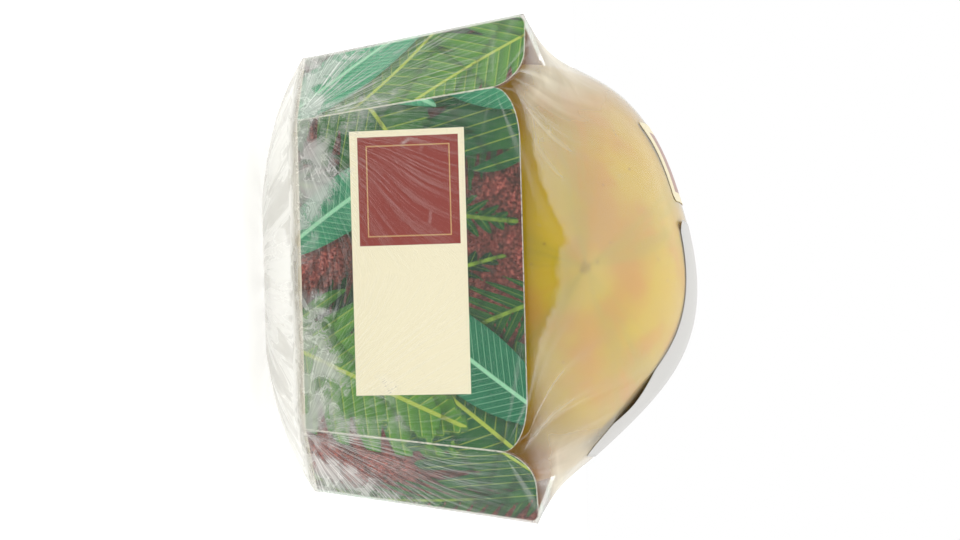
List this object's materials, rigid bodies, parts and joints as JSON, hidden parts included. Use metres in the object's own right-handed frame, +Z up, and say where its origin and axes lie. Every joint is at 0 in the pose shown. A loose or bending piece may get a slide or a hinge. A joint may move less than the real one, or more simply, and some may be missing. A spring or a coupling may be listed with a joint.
{
  "type": "packed papaya",
  "caption": "Whole ripe papaya lying tilted in a printed board cradle with lobed walls, under clear stretch film gathered beneath it, with plain paper labels stuck on top.",
  "frame": {"origin": "on the resting surface, under the middle of the carton", "axes": "+Z up, +Y from the carton's front wall to its back wall along the fruit's length, +X to the right as the front wall is seen"},
  "size_m": [0.148, 0.1722, 0.1335],
  "materials": {
    "skin": "satin",
    "board": "satin",
    "film": "gloss",
    "white_paper": "satin",
    "cream_paper": "satin"
  },
  "bodies": {
    "root": {"papaya": "skin", "carton_cradle": "board", "film_wrap": "film", "white_label": "white_paper", "cream_label": "cream_paper"}
  },
  "joints": []
}
